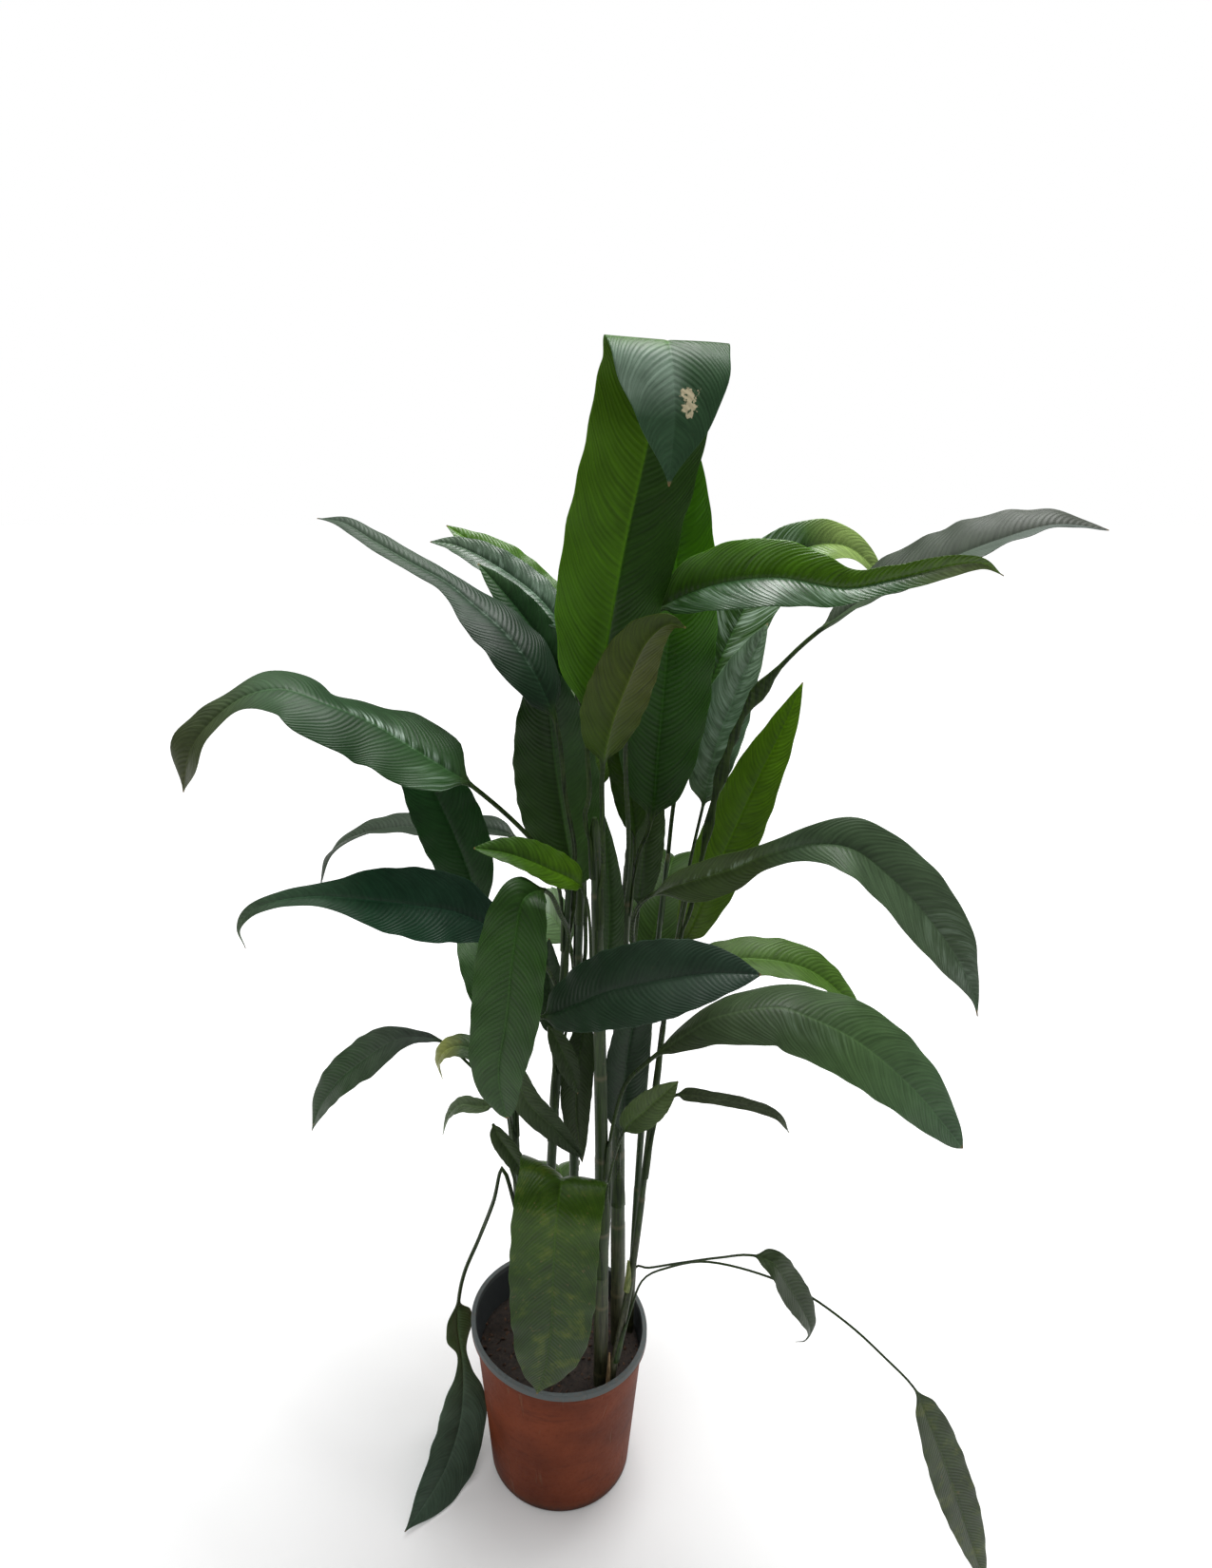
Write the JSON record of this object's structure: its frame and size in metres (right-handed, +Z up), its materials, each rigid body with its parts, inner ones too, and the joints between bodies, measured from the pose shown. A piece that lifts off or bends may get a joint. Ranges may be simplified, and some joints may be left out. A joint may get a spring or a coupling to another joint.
{
  "type": "potted heliconia",
  "caption": "Tall potted heliconia: leaning sheathed stems with long paddle leaves, some arched, folded or drooping, in a soft round nursery pot filled with soil.",
  "frame": {"origin": "middle of the pot's flat underside, on the surface it stands on", "axes": "+Z up, +X to the plant's right in the picture, -Y towards the camera of the picture"},
  "size_m": [0.9258, 0.5836, 1.4886],
  "materials": {
    "pot": "matte terracotta, with a grey lip and a dark inside",
    "soil": "rough damp potting mix",
    "stem_green": "satin, finely ribbed",
    "stem_brown": "satin, reddish brown over green",
    "leaf_bright": "satin, light shining through",
    "leaf_mid": "satin with fine cross veins",
    "leaf_dark": "half gloss, dark blue-green with fine cross veins",
    "leaf_olive": "satin, olive and mottled",
    "dry": "dry and papery",
    "bud": "satin yellow-green"
  },
  "bodies": {
    "root": {"pot": "pot", "soil": "soil", "stem_front": "stem_brown", "stem_red": "stem_brown", "stem_right": "stem_brown", "stem_right_back": "stem_green", "stem_left": "stem_green", "stem_middle": "stem_green", "stem_back": "stem_green", "stem_left_back": "stem_green", "stem_far_back": "stem_green", "dried_sheath": "dry", "green_stub": "bud", "leaf_crown_folded": "leaf_bright", "leaf_crown_back": "leaf_bright", "leaf_olive": "leaf_olive", "leaf_right_glossy": "leaf_dark", "leaf_right_arched": "leaf_bright", "leaf_right_far": "leaf_dark", "leaf_right_silver": "leaf_mid", "leaf_right_upright": "leaf_bright", "leaf_right_twisted": "leaf_dark", "leaf_front_dark": "leaf_dark", "leaf_right_light": "leaf_bright", "leaf_right_broad": "leaf_dark", "leaf_right_narrow": "leaf_mid", "leaf_right_short": "leaf_mid", "leaf_front_mottled": "leaf_olive", "leaf_front_left": "leaf_mid", "leaf_left_folded": "leaf_bright", "leaf_left_arm": "leaf_dark", "leaf_left_dark": "leaf_dark", "leaf_left_grey": "leaf_dark", "leaf_left_long": "leaf_dark", "leaf_left_bitten": "leaf_mid", "leaf_left_yellow_tip": "leaf_olive", "leaf_left_claw": "leaf_mid", "leaf_left_small": "leaf_mid", "leaf_middle_diagonal": "leaf_mid", "leaf_middle_short": "leaf_mid", "leaf_middle_hanging": "leaf_mid", "leaf_back_pale": "leaf_bright", "leaf_middle_dark": "leaf_dark", "leaf_middle_wide": "leaf_mid", "leaf_upper_left_long": "leaf_dark", "leaf_upper_left_ragged": "leaf_mid", "leaf_upper_left_light": "leaf_bright", "leaf_upper_left_low": "leaf_dark", "leaf_centre_left_tall": "leaf_mid", "leaf_centre_dark": "leaf_dark", "leaf_centre_upright": "leaf_mid", "leaf_centre_right": "leaf_dark", "leaf_floor_left": "leaf_dark", "leaf_pot_right": "leaf_dark", "leaf_far_right_low": "leaf_dark", "leaf_back_high": "leaf_mid", "leaf_back_right": "leaf_mid", "leaf_back_left": "leaf_mid", "leaf_back_low": "leaf_mid"}
  },
  "joints": []
}
